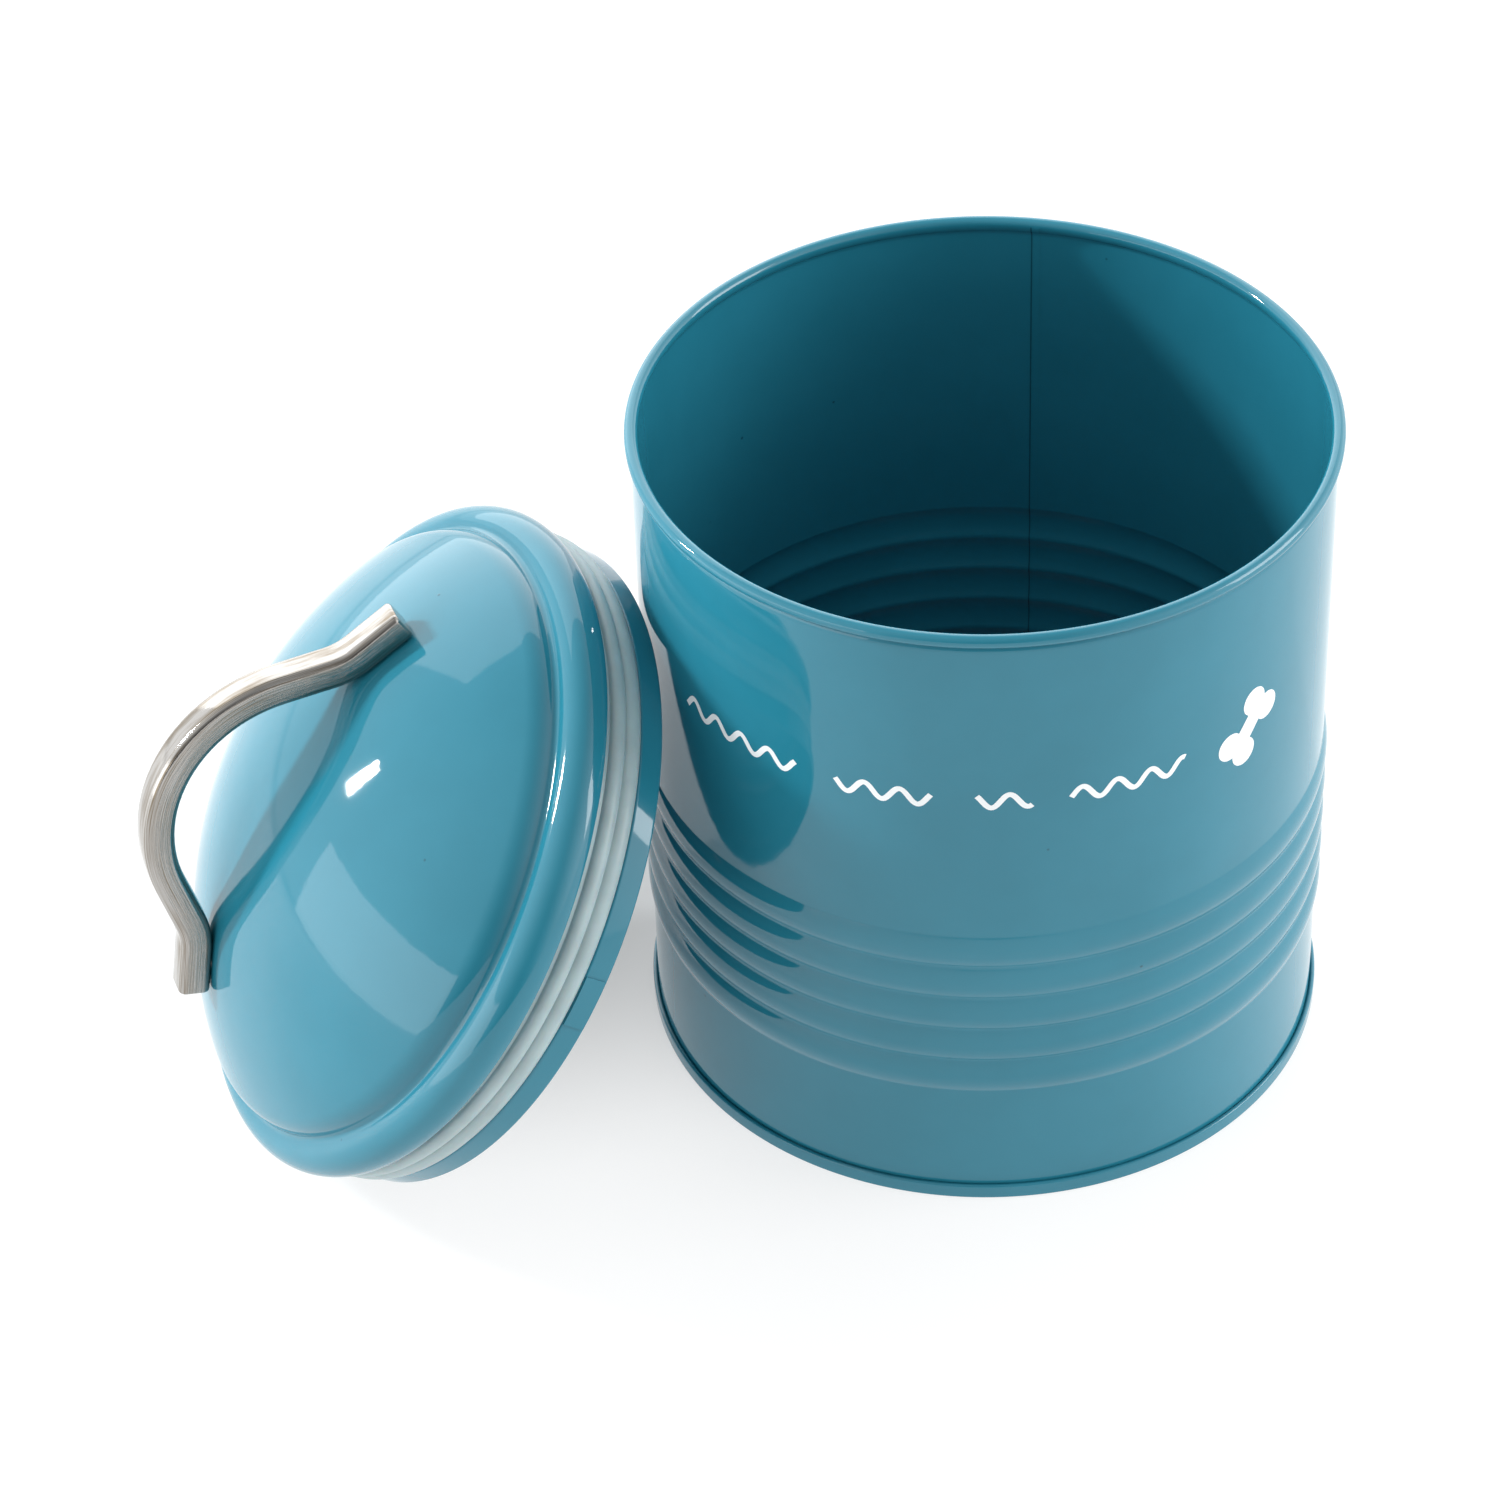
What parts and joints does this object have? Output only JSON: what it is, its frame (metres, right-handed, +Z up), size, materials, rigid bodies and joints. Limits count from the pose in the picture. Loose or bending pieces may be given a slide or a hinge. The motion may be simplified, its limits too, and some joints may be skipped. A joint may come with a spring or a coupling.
{
  "type": "pet food bin",
  "caption": "Round seamed steel tin with ribbed lower wall and rolled rim; domed lid with ribbed seal and arched square handle leans against it.",
  "frame": {"origin": "on the tin's axis, in the plane that its base seam stands on", "axes": "+Z up along the tin's axis, out of its mouth; -X is towards the side that the lid leans on; +Y is away from a viewer who has the lid on their left"},
  "size_m": [0.2224, 0.161, 0.136],
  "materials": {
    "teal_enamel": "gloss",
    "handle_chrome": "polished",
    "seal_silicone": "satin",
    "seam_compound": "matte",
    "print_ink": "satin",
    "screw_steel": "satin"
  },
  "bodies": {
    "bin": {"bin_wall": "teal_enamel", "bin_base": "teal_enamel", "base_seam_compound": "seam_compound"},
    "lid": {"lid_dome": "teal_enamel", "lid_skirt": "teal_enamel", "lid_seal": "seal_silicone", "lid_handle": "handle_chrome", "handle_screws": "screw_steel", "handle_washers": "screw_steel"}
  },
  "joints": [
    {"name": "lid_lift", "type": "slide", "parent": "bin", "child": "lid", "axis": [-0.7818, -0.2587, 0.5673], "range_m": [0, 0.12]}
  ]
}
